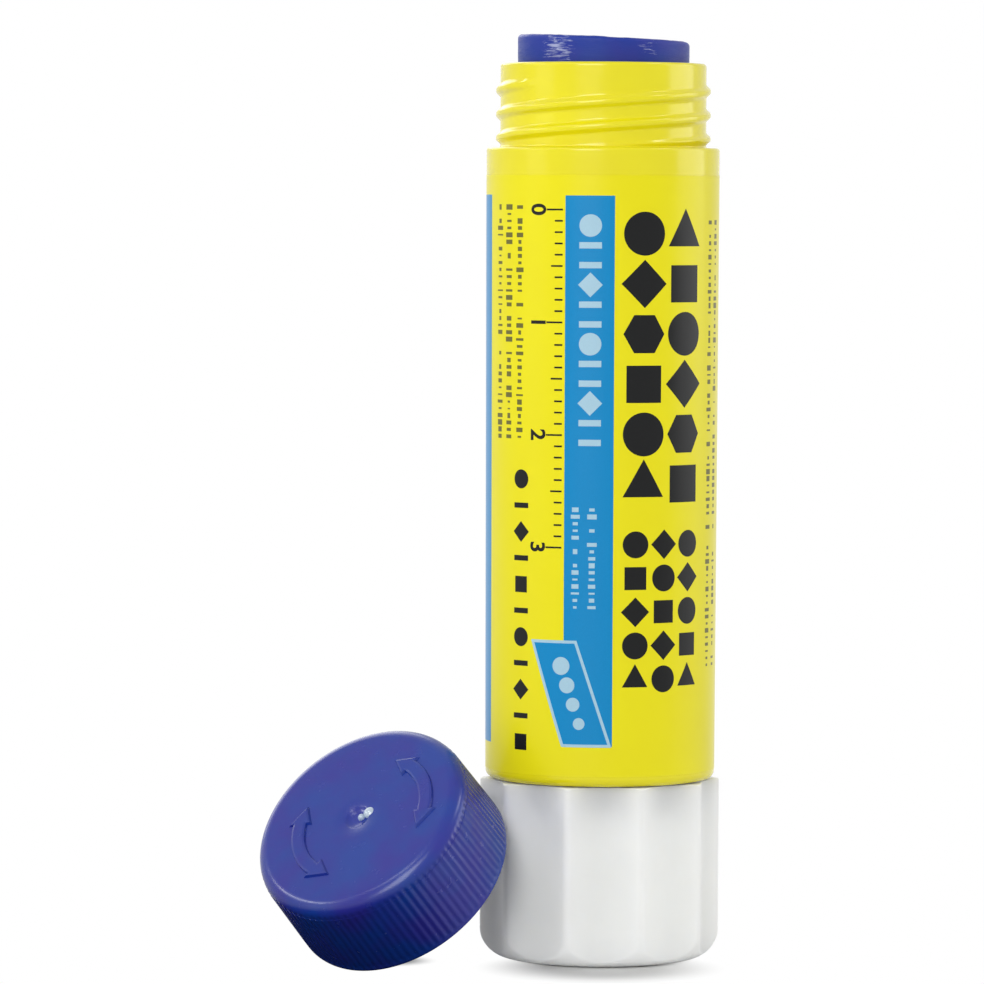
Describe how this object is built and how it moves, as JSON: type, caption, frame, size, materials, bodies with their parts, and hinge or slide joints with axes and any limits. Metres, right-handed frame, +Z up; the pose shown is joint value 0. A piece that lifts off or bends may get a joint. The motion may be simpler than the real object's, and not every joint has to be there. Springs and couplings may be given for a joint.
{
  "type": "glue stick",
  "caption": "Twist-up glue stick with its screw cap taken off: yellow barrel with a threaded neck, white fluted turning knob, blue glue standing in the mouth.",
  "frame": {"origin": "centre of the knob's flat base, where the stick stands on the table", "axes": "+Z up along the stick's axis, -Y towards the viewer of the front, where the printed stripe is; the loose cap leans on the knob at the front left"},
  "size_m": [0.0412, 0.0298, 0.0833],
  "materials": {
    "barrel": "smooth injection-moulded yellow polypropylene",
    "label": "glossy printed film",
    "knob": "satin moulded white polypropylene",
    "spindle": "moulded natural polypropylene",
    "carrier": "moulded natural polypropylene",
    "glue": "waxy deep blue glue, glossy where it was smeared",
    "cap": "satin moulded deep blue polypropylene"
  },
  "bodies": {
    "barrel": {"barrel": "barrel", "barrel_label": "label"},
    "knob": {"turn_knob": "knob", "screw_spindle": "spindle"},
    "carrier": {"glue_carrier": "carrier", "glue_bar": "glue"},
    "cap": {"screw_cap": "cap"}
  },
  "joints": [
    {"name": "knob_turn", "type": "hinge", "parent": "barrel", "child": "knob", "pos_m": [0, 0, 0], "axis": [0, 0, 1], "range_deg": [-347, 3645]},
    {"name": "carrier_slide", "type": "slide", "parent": "barrel", "child": "carrier", "axis": [0, 0, 1], "range_m": [-0.00386, 0.0405]},
    {"name": "cap_lift", "type": "slide", "parent": "barrel", "child": "cap", "axis": [0, 0, 1], "range_m": [0, 0.09]}
  ],
  "couplings": [
    {"joint": "carrier_slide", "follows": "knob_turn", "m_per_rad": 0.00063662}
  ]
}
